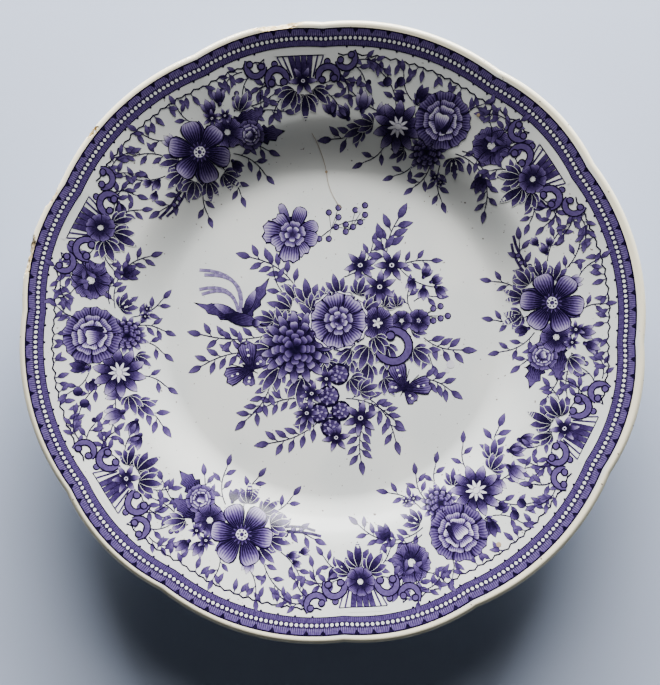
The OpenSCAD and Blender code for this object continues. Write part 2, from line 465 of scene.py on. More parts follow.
def scroll(x, y, r, start, end, width):
    """A thick C with a dark edge and a ball curled in at each end."""
    strokes = arc(x, y, r, start, end, width + 0.7, SOLID) + arc(x, y, r, start, end, width)
    for degrees in (start, end):
        a = math.radians(degrees)
        strokes += berry(x + 0.7 * r * math.cos(a), y + 0.7 * r * math.sin(a), 0.75 * width, SCROLL)
    return strokes


def twig(x0, y0, x1, y1, pairs, size, bend=0.12, tone=LEAF):
    """A bent stem with leaves on both sides by turns and one at the tip."""
    way = curve(x0, y0, x1, y1, bend, 4 * pairs + 2)
    strokes = line(way, 0.42)
    for i in range(2, 4 * pairs + 1, 2):
        turn = math.degrees(math.atan2(way[i + 1][1] - way[i][1], way[i + 1][0] - way[i][0]))
        side = 48 if i % 4 else -48
        strokes += leaf(way[i][0], way[i][1], turn + side, size, tone)
    return strokes + leaf(way[-1][0], way[-1][1], turn, 1.1 * size, tone)


def ring(kind, x, y, count, inner, length, width, tone, first=0):
    strokes = []
    for i in range(count):
        turn = first + 360 * i / count
        a = math.radians(turn)
        strokes += put(kind, x + inner * math.cos(a), y + inner * math.sin(a), turn, length, width, tone)
    return strokes


# %% Flower heads
def star(x, y, r, first=0, tone=MID):
    strokes = ring("spear", x, y, 6, 0.12 * r, 0.88 * r, 0.42 * r, tone, first)
    return strokes + dot(x, y, 0.14 * r, EYE) + dot(x, y, 0.07 * r, LINE)


def daisy(x, y, r, first=0):
    strokes = ring("blade", x, y, 10, 0.2 * r, 0.8 * r, 0.4 * r, MID, first)
    strokes += ring("spear", x, y, 9, 0.12 * r, 0.3 * r, 0.13 * r, EYE, first + 10)
    return strokes + dot(x, y, 0.13 * r, EYE)


def round_flower(x, y, r, count=8, first=0):
    strokes = ring("frill", x, y, count, 0.18 * r, 0.82 * r, 5.6 * r / count, VEINED, first)
    return strokes + ring("disc", x, y, 5, 0.08 * r, 0.08 * r, 0.08 * r, EYE, first)


def lily(x, y, r, first=0):
    strokes = ring("blade", x, y, 4, 0.15 * r, 0.85 * r, 0.42 * r, DARK, first + 40)
    strokes += ring("petal", x, y, 6, 0.12 * r, 0.88 * r, 0.7 * r, MID, first)
    strokes += ring("spear", x, y, 14, 0.1 * r, 0.24 * r, 0.08 * r, DARK, first)
    strokes += dot(x, y, 0.2 * r, EYE) + ring("disc", x, y, 7, 0.09 * r, 0.07 * r, 0.06 * r, LINE, first)
    return strokes + dot(x, y, 0.07 * r, GREY)


def rose(x, y, r, first=0):
    strokes = dot(x, y, 0.74 * r, SOLID)
    strokes += ring("frill", x, y, 8, 0.34 * r, 0.66 * r, 0.8 * r, VEINED, first)
    strokes += ring("frill", x, y, 7, 0.26 * r, 0.44 * r, 0.6 * r, MID, first + 25)
    strokes += ring("frill", x, y, 5, 0.12 * r, 0.38 * r, 0.6 * r, SOFT, first)
    strokes += put("frill", x + 0.2 * r, y - 0.4 * r, 110, 0.72 * r, 0.66 * r, DARK)
    return strokes + put("frill", x - 0.02 * r, y - 0.42 * r, 96, 0.68 * r, 0.6 * r, PALE)


def peony(x, y, r, first=0):
    strokes = dot(x, y, 0.7 * r, SOLID)
    strokes += ring("frill", x, y, 7, 0.3 * r, 0.72 * r, 0.74 * r, PALE, first + 26)
    strokes += ring("frill", x, y, 7, 0.2 * r, 0.74 * r, 0.8 * r, BLUSH, first)
    strokes += ring("frill", x, y, 7, 0.1 * r, 0.4 * r, 0.36 * r, MID, first + 12)
    strokes += ring("petal", x, y, 6, 0.02 * r, 0.28 * r, 0.24 * r, SOFT, first + 40)
    return strokes + ring("petal", x, y, 3, 0, 0.16 * r, 0.16 * r, MID, first)


def loose_flower(x, y, r):
    """A full-blown flower seen a little from the side: no two petals alike."""
    strokes = dot(x, y, 0.6 * r, SOLID)
    for turn, long, wide in ((112, 1.1, 0.3), (70, 0.96, 0.5), (20, 0.9, 0.5), (345, 0.86, 0.56)):
        strokes += put("petal", x, y, turn, long * r, wide * r, MID)
    front = ((135, 0.86, 0.6), (175, 1.04, 0.8), (215, 0.8, 0.7), (300, 0.86, 0.6), (262, 1.0, 0.74))
    for turn, long, wide in front:
        strokes += put("frill", x, y, turn, long * r, wide * r, BLUSH)
    strokes += ring("frill", x, y, 6, 0.04 * r, 0.42 * r, 0.4 * r, MID, 15)
    return strokes + ring("petal", x, y, 5, 0.0, 0.26 * r, 0.22 * r, SOFT, 50)


def chrysanthemum(x, y, r, first=0):
    strokes = dot(x, y, 0.8 * r, SOLID) + ring("blade", x, y, 15, 0.5 * r, 0.55 * r, 0.27 * r, MID, first)
    strokes += ring("petal", x, y, 12, 0.38 * r, 0.36 * r, 0.26 * r, MID, first + 8)
    for count, inner in ((10, 0.27), (8, 0.14), (5, 0.02)):
        strokes += ring("petal", x - 0.06 * r, y - 0.05 * r, count, inner * r, 0.3 * r, 0.25 * r, ROW, first)
    return strokes


def seed_ball(x, y, r):
    """A round bud covered with rows of pale seeds."""
    strokes = dot(x, y, r, SOLID) + dot(x, y, 0.86 * r, GREY)
    strokes += ring("spear", x, y, 7, 0.5 * r, 0.34 * r, 0.24 * r, SEED)
    return strokes + ring("spear", x, y, 4, 0.1 * r, 0.34 * r, 0.24 * r, SEED, 20)


def bell(x, y, turn, size, tone=MID):
    """A half-open bud seen from the side, its root at the given place."""
    strokes = put("blade", x, y, turn + 24, 0.92 * size, 0.4 * size, tone)
    strokes += put("blade", x, y, turn - 24, 0.92 * size, 0.4 * size, tone)
    return strokes + put("blade", x, y, turn, size, 0.46 * size, tone) + dot(x, y, 0.14 * size, DARK)


def lobed_leaf(x, y, turn, size, tone=VEINED):
    """Five pointed lobes from one root, the middle one in front, each with a white edge."""
    strokes = []
    for side, part in ((62, 0.6), (-62, 0.6), (32, 0.82), (-32, 0.82), (0, 1.0)):
        strokes += put("blade", x, y, turn + side, 1.03 * part * size, 0.37 * size, WHITE)
        strokes += put("blade", x, y, turn + side, part * size, 0.33 * size, tone)
    return strokes


def berries(x, y, places, r=1.0):
    strokes = []
    for bx, by in places:
        strokes += line([(x, y), (bx, by)], 0.25)
    for bx, by in places:
        strokes += berry(bx, by, r)
    return strokes


def turned(strokes, degrees):
    a = math.radians(degrees)
    out = []
    for kind, x, y, turn, length, width, tone in strokes:
        u = x * math.cos(a) - y * math.sin(a)
        v = x * math.sin(a) + y * math.cos(a)
        out.append((kind, u, v, turn + degrees, length, width, tone))
    return out


def mirrored(strokes):
    out = []
    for kind, x, y, turn, length, width, tone in strokes:
        out.append((kind, -x, y, 180 - turn, length, width, tone))
    return out


# %% [markdown]
# ## The sprays of the rim
#
# One strip of the print holds two different sprays and two small scrolled panels, and three strips fill
# the ring. Each motif is drawn standing upright, with the middle of the plate 100 mm below it, and then
# turned to its own place.

# %% Spray with a big open flower
def big_flower_spray():
    s = twig(-12, 84, -27, 80, 2, 4.5, 0.1) + twig(-4, 80, -13, 69, 2, 4.2, -0.15)
    s += twig(3, 80, 3, 68, 2, 4.2, 0.1) + twig(10, 82, 16, 69, 2, 4.2, 0.12) + twig(12, 84, 22, 76, 2, 4.2)
    s += twig(-12, 94, -24, 103, 2, 4.2, -0.1) + twig(-18, 90, -31, 98, 2, 4.2, 0.1)
    s += twig(18, 92, 36, 84, 2, 4.5, 0.1) + twig(22, 96, 36, 91, 2, 4.2, -0.1)
    s += twig(-8, 100, -16, 109, 1, 4)
    s += twig(4, 100, 2, 109, 1, 3.8) + berries(20, 95, [(25, 100), (23, 99), (22, 95), (27, 97)], 1.1)
    s += line(curve(-10, 87, -30, 78, 0.08, 6), 1.1, GREY)
    s += line(curve(-10, 85, -27, 77, 0.1, 6), 1.0, GREY)
    s += berries(-13, 84, [(-17, 83), (-15, 80), (-19, 80), (-22, 79)], 1.1)
    s += bell(-21, 90, 200, 4.6) + bell(-25, 87, 215, 4.2) + bell(-24, 91, 160, 4.0)
    s += bell(-40, 92, 250, 6, DARK)
    s += lobed_leaf(-10, 92, 160, 8) + lobed_leaf(-12, 87, 190, 8.5) + lobed_leaf(22, 94, 30, 8, MID)
    s += lobed_leaf(-5, 79, 240, 8) + lobed_leaf(2, 78, 290, 8.5) + lobed_leaf(-10, 82, 215, 8)
    s += put("fern", 16, 91, -12, 15, 7.5, DARK) + put("fern", 20, 83, -25, 14, 8, DARK)
    s += bell(12, 99, 80, 7) + bell(17, 101, 60, 6.5) + bell(-8, 97, 100, 6, SOFT)
    s += rose(20, 84, 6) + round_flower(13, 90, 6.5, 7, 10) + star(11, 98, 4) + star(16, 96, 3.4, 20)
    s += bell(8, 80, 280, 5.5, DARK)
    return s + lily(-1, 90, 12.4, 15)


# %% Spray with a rose
def rose_spray():
    s = twig(-14, 90, -34, 94, 3, 4.2, 0.1) + twig(-12, 94, -22, 103, 2, 4.2, -0.1)
    s += twig(-6, 98, -14, 106, 1, 4)
    s += twig(-10, 80, -15, 70, 1, 4.2) + twig(4, 78, -1, 70, 1, 4.2) + twig(10, 80, 8, 69, 2, 4.2, 0.12)
    s += twig(14, 80, 20, 68, 2, 4.2, -0.1) + twig(18, 86, 32, 82, 2, 4.5, 0.1) + twig(20, 88, 30, 85, 1, 4)
    s += twig(30, 84, 38, 71, 3, 4.2, 0.1) + twig(28, 100, 24, 108, 1, 4) + twig(33, 100, 36, 106, 1, 4)
    s += twig(16, 102, 20, 108, 1, 3.8) + twig(36, 96, 40, 99, 1, 3.8) + twig(-22, 82, -30, 73, 2, 5)
    s += lobed_leaf(-21, 81, 225, 8.5) + lobed_leaf(-18, 84, 195, 8) + lobed_leaf(18, 84, 300, 8.5)
    s += lobed_leaf(6, 82, 250, 8) + lobed_leaf(-2, 80, 230, 7) + lobed_leaf(-3, 98, 110, 6.5)
    s += bell(-24, 87, 105, 8, SOFT) + bell(-17, 87, 75, 7, SOFT) + bell(-28, 82, 150, 7)
    s += bell(-34, 81, 140, 7)
    s += bell(-5, 99, 70, 7, DARK) + bell(-10, 97, 165, 5, DARK) + bell(32, 82, 270, 7.5, DARK)
    s += dot(-19, 101, 1.9, DARK) + dot(-14, 103, 1.9, DARK) + dot(-26, 98, 1.1)
    s += star(14, 75, 2.6) + star(17, 74, 2.4) + chrysanthemum(7, 83, 7.5)
    s += daisy(-8, 87, 10.5) + round_flower(30, 94, 8, 8)
    return s + rose(8, 96, 11.8, 20)


# %% Scrolled panel between two sprays
def panel(flower):
    half = twig(8, 100, 20, 99, 2, 4.2) + twig(20, 106, 25, 99, 1, 4.2) + twig(5, 98, 13, 91, 2, 4)
    half += twig(15, 103, 18, 95, 1, 4) + twig(24, 107, 32, 103, 2, 3.8) + lobed_leaf(4, 98, 308, 8, DARK)
    fan = []
    fan_bars = ((-7.2, 0.6), (-5.4, 0.7), (-3, 2.3), (-1, 2.3), (1, 2.3), (3, 2.3), (5.4, 0.7), (7.2, 0.6))
    for x, width in fan_bars:
        fan += line([(0.8 * x, 103), (1.3 * x, 111)], width, GREY)
    half += scroll(18.6, 108.2, 3.5, 180, 390, 2.1) + berry(10.7, 108.6, 1.5, SCROLL)
    half += scroll(10.3, 102.8, 3.9, 205, -25, 2.3)
    s = fan + half + mirrored(half) + put("bar", -10.5, 112.4, 0, 21, 1.7, WHITE)
    s += line([(-9.5, 111.3), (9.5, 111.3)], 0.4) + lobed_leaf(0, 96, 266, 10, DARK)
    s += lobed_leaf(-4, 98, 226, 9, DARK)
    return s + flower(0, 101.6, 6)


# %% Vine that runs along under the border
VINE_R = 111.4
VINE_LEAVES = [(158, 4.4), (0, 0), (205, 3.8), (0, 0), (172, 4.2), (232, 4.0), (0, 0), (0, 0), (190, 4.4)]


def vine(start, end):
    strokes = []
    steps = int(end - start)
    zigzag = []
    for i in range(steps + 1):
        r = VINE_R + (0.5, -0.5, 0.2, -0.2)[i % 4]
        a = math.radians(start + (end - start) * i / steps)
        zigzag.append((r * math.cos(a), r * math.sin(a)))
    strokes += line(zigzag, 0.55, SOLID)
    for i in range(steps):
        lean, size = VINE_LEAVES[i % len(VINE_LEAVES)]
        if size:
            strokes += leaf(zigzag[i][0], zigzag[i][1], start + i + lean, size)
    return strokes


# %% [markdown]
# ## The bouquet in the middle
#
# The middle print is one loose bunch: leafy twigs radiate first, then leaves, then flower heads from the
# edge inward, and the biggest heads last so that they lie on top.

# %% Bouquet
def butterfly(x, y, turn, size):
    s = []
    for side, long, wide in ((112, 0.66, 0.5), (-112, 0.66, 0.5), (50, 1.05, 0.74), (-50, 1.05, 0.74)):
        a = math.radians(turn + side)
        s += put("frill", x, y, turn + side, long * size, wide * size, VEINED)
        for out in (0.5, 0.7):
            spot = out * long * size
            s += dot(x + spot * math.cos(a), y + spot * math.sin(a), 0.05 * size, EYE)
    for side in (16, -16):
        a = math.radians(turn + side)
        s += line([(x, y), (x + 0.75 * size * math.cos(a), y + 0.75 * size * math.sin(a))], 0.3, SOLID)
    back = math.radians(turn + 180)
    root = (x + 0.3 * size * math.cos(back), y + 0.3 * size * math.sin(back))
    return s + put("leaf", root[0], root[1], turn, 0.7 * size, 0.2 * size, SOLID)


def bird(x, y):
    """A small flying bird: long tail, two raised wings, body and head."""
    s = []
    for dx, dy, bend in ((-14, 21, -0.3), (-12, 19, -0.34), (-14, 13, -0.3), (-13, 11, -0.34)):
        s += line(curve(x + 2, y + 1, x + dx, y + dy, bend, 9), 1.3, PLUME)
    s += put("fern", x + 4, y, 160, 22, 6, DARK) + put("fern", x + 4, y + 1, 58, 20, 6.5, GREY)
    s += put("blade", x + 3, y + 1, 152, 13, 4, MID) + put("blade", x + 4, y + 2, 66, 12, 4, MID)
    s += put("blade", x - 4, y + 2, -12, 15, 5.5, DARK) + dot(x + 9, y - 1, 1.8, MID)
    return s + put("spear", x + 10.5, y - 1.5, -18, 3.5, 1.0, SOLID)


def bouquet():
    s = twig(-13, 15, -32, 30, 5, 5.2, -0.12) + twig(-16, 12, -24, 26, 1, 5)
    s += twig(5, 22, 17, 35, 4, 4.4, -0.15)
    s += twig(23, 30, 27, 45, 3, 6.2, 0.08) + twig(25, 28, 21, 36, 1, 6) + twig(24, 24, 40, 29, 3, 4.2, 0.1)
    s += twig(34, 12, 42, 14, 1, 4.4) + twig(33, 8, 32, 17, 1, 4.4) + twig(38, -3, 52, -8, 3, 5.4, -0.1)
    s += twig(36, -6, 41, -13, 1, 5) + twig(36, -20, 48, -24, 3, 5, 0.1)
    s += twig(12, -26, 26, -44, 4, 5, 0.12)
    s += twig(14, -36, 12, -52, 4, 5, -0.08) + twig(6, -28, 25, -36, 4, 4.6, 0.1)
    s += twig(-2, -34, -24, -46, 5, 5.2, 0.1)
    s += twig(-6, -30, -26, -31, 4, 4.6, -0.12) + twig(-24, -14, -34, -36, 5, 5, 0.12)
    s += twig(-26, -10, -52, -14, 5, 5, -0.1) + twig(-20, 0, -52, -2, 5, 5, 0.08)
    s += twig(-30, -8, -40, -4, 1, 4.6)
    s += berries(0, 42, [(-1, 49), (3, 51), (3, 47), (-5, 38), (-1, 38)], 1.4)
    s += berries(8, 42, [(10, 50), (14, 52), (14, 48), (12, 45), (9, 43), (6, 44), (6, 41), (2, 43)], 1.4)
    s += berries(38, 6, [(42, 9), (45, 10), (48, 6), (45, 5), (42, 4)], 1.4)
    s += line(curve(-4, 39, 14, 46, 0.1, 6))
    s += bell(38, 22, 60, 5.5) + bell(41, 20, 20, 5.5) + bell(34, 21, 250, 5.5) + bell(38, 18, 270, 5.8)
    s += bell(43, 18, 320, 6) + line(curve(28, 26, 42, 18, -0.1, 6), 0.35)
    # Each leaf of the bouquet: its root, the way it points and its length
    leaves = (
        (-15, 13, 125, 8), (-9, 11, 100, 11), (-3, 12, 62, 8), (3, 15, 105, 9), (11, 15, 70, 8),
        (16, 11, 40, 9), (-17, 9, 165, 10), (-13, 5, 200, 8), (-22, -3, 140, 8), (-25, -8, 200, 10),
        (-20, 2, 110, 8), (-22, -16, 235, 11), (-12, -20, 265, 12), (-2, -13, 300, 9), (15, -14, 250, 10),
        (24, -14, 285, 10), (34, -8, 320, 9), (7, -12, 260, 8), (8, -20, 320, 9), (12, -25, 20, 8),
        (-10, -35, 250, 8), (-3, -8, 250, 9), (8, -8, 230, 8), (22, 10, 60, 8), (27, 10, 100, 6),
        (14, 8, 30, 8), (3, -36, 200, 8), (-7, 5, 135, 9), (-8, 9, 60, 8), (-1, 10, 120, 8),
        (33, 0, 20, 8), (22, -20, 300, 8), (-24, 4, 170, 8),
    )
    for x, y, turn, size in leaves:
        s += lobed_leaf(x, y, turn, size)
    for x, y, r in ((3, -18, 4.6), (-1, -27, 4.6), (4, -33, 4.2), (-5, -34, 4.2), (0, -40, 4.2)):
        s += seed_ball(x, y, r)
    s += star(-2, -20, 4.6) + star(-8, -26, 5.4, 15) + star(-10, -34, 5.6) + star(12, -36, 7.6, 20)
    s += star(2, -44, 6, 10)
    s += star(12, 27, 7, 15) + star(25, 27, 7.4) + star(20, 18, 7.4, 25) + butterfly(-33, -16, 150, 11)
    s += butterfly(30, -24, 60, 11) + bird(-40, 4) + round_flower(36, 4, 5, 6)
    s += round_flower(29, 4, 4.4, 5, 20)
    s += round_flower(19, 3, 7.0, 6) + lobed_leaf(15, -7, 250, 10) + lobed_leaf(22, -6, 275, 10)
    s += scroll(25.5, -6.5, 6.4, 105, -165, 3.0) + lobed_leaf(18, -3, 300, 8, DARK)
    s += ring("disc", 19, 3, 5, 0.7, 1.5, 1.3, EYE)
    s += loose_flower(-16, 40, 12.5) + chrysanthemum(-14, -7, 14.5)
    s += dot(49, -14, 1.7, SMUDGE) + dot(47.5, -16.5, 1.0, SMUDGE) + dot(12, 50, 1.2, SMUDGE)
    return s + peony(3, 4, 12.6)


middle = bouquet()
print("strokes in the middle", len(middle))

# %% [markdown]
# ## Laying the strokes down in order
#
# Each stroke becomes a copy of its shape with its own mesh. Where strokes overlap, the later one has to
# lie on top, so a coarse map of the plate remembers how many layers there already are at each spot and
# every copy is lifted just above them. The tone goes with the copy as a colour attribute.

# %% Levels and copies
CELL = 0.8
LEVEL = 0.002 * MM
HALF_MAP = 130
LONGEST = 1.6 * MM
TONE = "Tone"


def spots_of(obj, n):
    """Points spread over every face of a shape, to find what it will cover."""
    out = []
    for face in obj.data.polygons:
        a, b, c, d = [np.array(obj.data.vertices[i].co.xy) for i in face.vertices]
        for i in range(n):
            for j in range(n):
                u, v = i / (n - 1), j / (n - 1)
                out.append((a * (1 - u) + b * u) * (1 - v) + (d * (1 - u) + c * u) * v)
    return np.array(out)


def set_tone(mesh, tone):
    mesh.color_attributes[TONE].data.foreach_set("color", np.tile(tone, len(mesh.vertices)).astype(float))


spots = {}
for name, obj in shapes.items():
    obj.data.color_attributes.new(TONE, "FLOAT_COLOR", "POINT")
    spots[name] = spots_of(obj, 14 if name == "bar" else 5)


def lay(strokes, ground, first_level):
    """All strokes in one flat mesh, from the back to the front, after the ground meshes."""
    sheet = bmesh.new()
    for mesh in ground:
        sheet.from_mesh(mesh)
    size = int(2 * HALF_MAP / CELL)
    heights = np.full((size, size), first_level)
    for kind, x, y, turn, length, width, tone in strokes:
        a = math.radians(turn - 90)
        px = spots[kind][:, 0] * width
        py = spots[kind][:, 1] * length
        col = ((x + px * math.cos(a) - py * math.sin(a) + HALF_MAP) / CELL).astype(int)
        row = ((y + px * math.sin(a) + py * math.cos(a) + HALF_MAP) / CELL).astype(int)
        level = heights[row, col].max() + 1
        heights[row, col] = level
        copy = shapes[kind].data.copy()
        set_tone(copy, tone)
        copy.transform(Matrix.Diagonal((width * MM, length * MM, 1, 1)))
        copy.transform(Matrix.Rotation(a, 4, "Z"))
        copy.transform(Matrix.Translation((x * MM, y * MM, level * LEVEL)))
        sheet.from_mesh(copy)
        bpy.data.meshes.remove(copy)
    for _ in range(2):
        outer = [edge for edge in sheet.edges if edge.verts[0].co.length > WELL_R]
        long = [edge for edge in outer if edge.calc_length() > LONGEST]
        bmesh.ops.subdivide_edges(sheet, edges=long, cuts=1, use_grid_fill=True)
    mesh = bpy.data.meshes.new("sheet")
    sheet.to_mesh(mesh)
    sheet.free()
    print("levels", heights.max(), "faces", len(mesh.polygons))
    return mesh


# %% [markdown]
# ## The border bands
#
# A band is a long strip bent round the plate's middle: a grid with one row, whose length becomes an
# angle and whose width becomes a radius. Beads and small triangles are strokes like the rest.

# %% Bands
STRIP = 120
STRIP_MID = 49
FIRST = STRIP_MID - STRIP / 2
BEADS = 124
TEETH = 38
BEAD_R = 117.85
TOOTH_R = 121.6
KNOB_R = 114.6
KNOBS = 13
SPRAY_HALF = 22


def band(inner, outer, tone, level):
    bpy.ops.mesh.primitive_grid_add(x_subdivisions=120, y_subdivisions=1, size=1)
    obj = bpy.context.object
    obj.data.color_attributes.new(TONE, "FLOAT_COLOR", "POINT")
    set_tone(obj.data, tone)
    for vertex in obj.data.vertices:
        a = math.radians(STRIP_MID - STRIP * vertex.co.x)
        r = (inner + (outer - inner) * (vertex.co.y + 0.5)) * MM
        vertex.co = (r * math.cos(a), r * math.sin(a), level * LEVEL)
    mesh = obj.data
    mesh.polygons.foreach_set("material_index", [1] * len(mesh.polygons))
    bpy.data.objects.remove(obj)
    return mesh


SKY = (0.58, 0.58, 0.0, 0.45)
FIELD = (0.64, 0.64, 0.0, 0.3)
GROUND = (0.82, 0.82, 0.0, 0.0)
bands = [band(118.7, 121.6, SKY, 1), band(116.7, 119.1, GROUND, 1), band(115.0, 116.9, FIELD, 2)]
bands += [band(121.3, 121.9, SOLID, 2), band(114.7, 115.1, SOLID, 2)]


def around(count, start, end, make):
    strokes = []
    for i in range(count):
        turn = start + (end - start) * (i + 0.5) / count
        strokes += make(math.cos(math.radians(turn)), math.sin(math.radians(turn)), turn)
    return strokes


def bead(c, s, turn):
    return dot(BEAD_R * c, BEAD_R * s, 0.66, WHITE)


def border_tooth(c, s, turn):
    return put("tooth", TOOTH_R * c, TOOTH_R * s, turn + 180, 2.0, 2.6, SOLID)


def knob(c, s, turn):
    return dot(KNOB_R * c, KNOB_R * s, 0.5, SOLID)


strip = around(BEADS, FIRST, FIRST + STRIP, bead)
strip += around(TEETH, FIRST, FIRST + STRIP, border_tooth)
SPRAYS = [(6, big_flower_spray()), (66.5, rose_spray())]
PANELS = [(36.5, panel(round_flower)), (96.5, panel(star))]
for middle_of, spray in SPRAYS:
    start = middle_of - SPRAY_HALF
    end = middle_of + SPRAY_HALF
    strip += around(KNOBS, start, end, knob) + vine(start, end) + turned(spray, middle_of - 90)
for middle_of, drawing in PANELS:
    strip += turned(drawing, middle_of - 90)
strip_mesh = lay(strip, bands, 2)
middle_mesh = lay(middle, [], 0)

# %% [markdown]
# ## Pressing the prints on to the dish
#
# The tissue is pressed down by hand and follows the dish. Here each point keeps its place on the plan
# and takes its height from the formula of the face, plus the lift of its own layer. The normals are
# taken from the same formula, so that the gloss runs on across the ink without a break. The real print
# went on a little off centre, and so does this one. A second UV map, the plan of the whole print, is
# there for baking the ink into an image; the ink itself reads the first one.

# %% Pressing
LIFT = 0.03 * MM
OFF_CENTRE = -0.7 * MM


def press(name, flat, degrees):
    mesh = flat.copy()
    mesh.name = name
    mesh.transform(Matrix.Rotation(math.radians(degrees), 4, "Z"))
    at = np.empty(len(mesh.vertices) * 3)
    mesh.vertices.foreach_get("co", at)
    at = at.reshape(-1, 3)
    at[:, 0] += OFF_CENTRE
    r = np.hypot(at[:, 0], at[:, 1])
    angle = np.arctan2(at[:, 1], at[:, 0])
    slope = face_slope(r)
    at[:, 2] += face_z(r) + LIFT * np.sqrt(1 + slope**2)
    at[:, :2] *= lobe(angle, r)[:, None]
    mesh.vertices.foreach_set("co", at.ravel())
    normals = np.column_stack((-slope * np.cos(angle), -slope * np.sin(angle), np.ones(len(r))))
    normals /= np.linalg.norm(normals, axis=1)[:, None]
    mesh.update()
    mesh.normals_split_custom_set_from_vertices(normals.tolist())
    plan = mesh.uv_layers.new(name="OFBake")
    corners = np.empty(len(mesh.loops), dtype=np.int32)
    mesh.loops.foreach_get("vertex_index", corners)
    low = at[:, :2].min(axis=0)
    size = (at[:, :2].max(axis=0) - low).max()
    plan.data.foreach_set("uv", ((at[corners, :2] - low) / size).astype(np.float32).ravel())
    mesh.uv_layers["UVMap"].active = True
    mesh.uv_layers["UVMap"].active_render = True
    obj = bpy.data.objects.new(name, mesh)
    bpy.context.collection.objects.link(obj)
    return obj


# Age marks: a stained hairline across the wall of the well and a few rust spots, pressed the same way.
hairline = curve(-8, 81, -2, 66, 0.05, 6) + curve(-2, 66, 4, 51, -0.08, 6)[1:]
marks = line(hairline, 0.22, WHITE)
for x, y, r in ((66, -86, 1.0), (-94, -41, 0.7), (60, 87, 0.7), (-2, 66, 0.6)):
    marks += dot(x, y, r)
marks_piece = press("age_marks", lay(marks, [], 40), 0)

prints = {
    "rim_print_1": press("printed_strip_1", strip_mesh, 0),
    "rim_print_2": press("printed_strip_2", strip_mesh, 120),
    "rim_print_3": press("printed_strip_3", strip_mesh, 240),
    "centre_print": press("printed_bouquet", middle_mesh, 0),
}
for obj in shapes.values():
    remove(obj)
print("print faces", {name: len(obj.data.polygons) for name, obj in prints.items()})

# %% [markdown]
# ## Materials
#
# Colours are given as a screen would show them and turned into linear light. Patterns use object
# coordinates, so that they stay with the plate. The same glaze covers clay and ink, so every material
# shares its gloss and only the colour under it changes.

# %% Node helpers
def linear(r, g, b):
    shown = [c / 255 for c in (r, g, b)]
    return (*[c / 12.92 if c <= 0.04045 else ((c + 0.055) / 1.055) ** 2.4 for c in shown], 1)


def material(name):
    made = bpy.data.materials.new(name)
    made.use_nodes = True
    return made, made.node_tree, made.node_tree.nodes["Principled BSDF"]


def node(tree, kind, inputs=None, **settings):
    made = tree.nodes.new(kind)
    for key, value in settings.items():
        setattr(made, key, value)
    for key, value in (inputs or {}).items():
        if isinstance(value, bpy.types.NodeSocket):
            tree.links.new(value, made.inputs[key])
        else:
            made.inputs[key].default_value = value
    return made


def maths(tree, what, a, b=0.0, c=0.0):
    return node(tree, "ShaderNodeMath", {0: a, 1: b, 2: c}, operation=what).outputs[0]


def ramp(tree, value, low, high, start=0.0, end=1.0):
    inputs = {"Value": value, 1: low, 2: high, 3: start, 4: end}
    return node(tree, "ShaderNodeMapRange", inputs, interpolation_type="SMOOTHSTEP").outputs[0]


def blend(tree, factor, a, b, how="MIX"):
    made = node(tree, "ShaderNodeMix", {"Factor": factor}, data_type="RGBA", blend_type=how)
    for socket, value in ((made.inputs[6], a), (made.inputs[7], b)):
        if isinstance(value, bpy.types.NodeSocket):
            tree.links.new(value, socket)
        else:
            socket.default_value = value
    return made.outputs[2]


def noise(tree, place, scale, detail=2.0):
    return node(tree, "ShaderNodeTexNoise", {"Vector": place, "Scale": scale, "Detail": detail}).outputs[0]


GLOSS_ROUGHNESS = 0.13


def gloss(shader):
    shader.inputs["Roughness"].default_value = GLOSS_ROUGHNESS
    shader.inputs["IOR"].default_value = 1.5
    shader.inputs["Specular IOR Level"].default_value = 0.5


# %% Colours of the glaze and the ink
GLAZE_WHITE = linear(214, 214, 207)
GLAZE_SHADE = linear(203, 205, 200)
LIP_CREAM = linear(236, 226, 196)
CREAM_FROM = 120.5 * MM
CREAM_TO = 122.5 * MM
INK = [(0.0, GLAZE_WHITE), (0.25, linear(156, 144, 176)), (0.5, linear(86, 71, 116)),
       (0.75, linear(38, 25, 64)), (1.0, linear(8, 4, 25))]


def glaze_colour(tree):
    place = node(tree, "ShaderNodeTexCoord").outputs["Object"]
    cloudy = ramp(tree, noise(tree, place, 30.0), 0.35, 0.65)
    return place, blend(tree, cloudy, GLAZE_WHITE, GLAZE_SHADE)


clay_look, tree, shader = material("biscuit clay")
place = node(tree, "ShaderNodeTexCoord").outputs["Object"]
grain = noise(tree, place, 900.0, 4.0)
tint = blend(tree, ramp(tree, grain, 0.35, 0.65), linear(196, 168, 118), linear(236, 220, 180))
dirt = ramp(tree, noise(tree, place, 520.0, 3.0), 0.6, 0.68)
tint = blend(tree, dirt, tint, linear(92, 74, 56))
tree.links.new(tint, shader.inputs["Base Color"])
shader.inputs["Roughness"].default_value = 0.85
bump = node(tree, "ShaderNodeBump", {"Height": grain, "Strength": 0.5, "Distance": 0.0004})
tree.links.new(bump.outputs[0], shader.inputs["Normal"])

glaze_look, tree, shader = material("clear glaze on clay")
place, tint = glaze_colour(tree)
flat = node(tree, "ShaderNodeVectorMath", {0: place, 1: (1, 1, 0)}, operation="MULTIPLY").outputs[0]
radius = node(tree, "ShaderNodeVectorMath", {0: flat}, operation="LENGTH").outputs["Value"]
tint = blend(tree, ramp(tree, radius, CREAM_FROM, CREAM_TO), tint, LIP_CREAM)
specks = ramp(tree, noise(tree, place, 620.0, 1.0), 0.73, 0.78)
tint = blend(tree, specks, tint, linear(110, 100, 95))
tree.links.new(tint, shader.inputs["Base Color"])
gloss(shader)


# %% [markdown]
# ## The ink
#
# An engraver makes tone with fine lines that swell and fade. The material starts from the tone at the
# root and the tip, adds lines that run along the shape, darkens the outline, and lets a little noise
# break it up, as ink does in a tissue transfer. One ramp then turns the amount of ink into a colour.

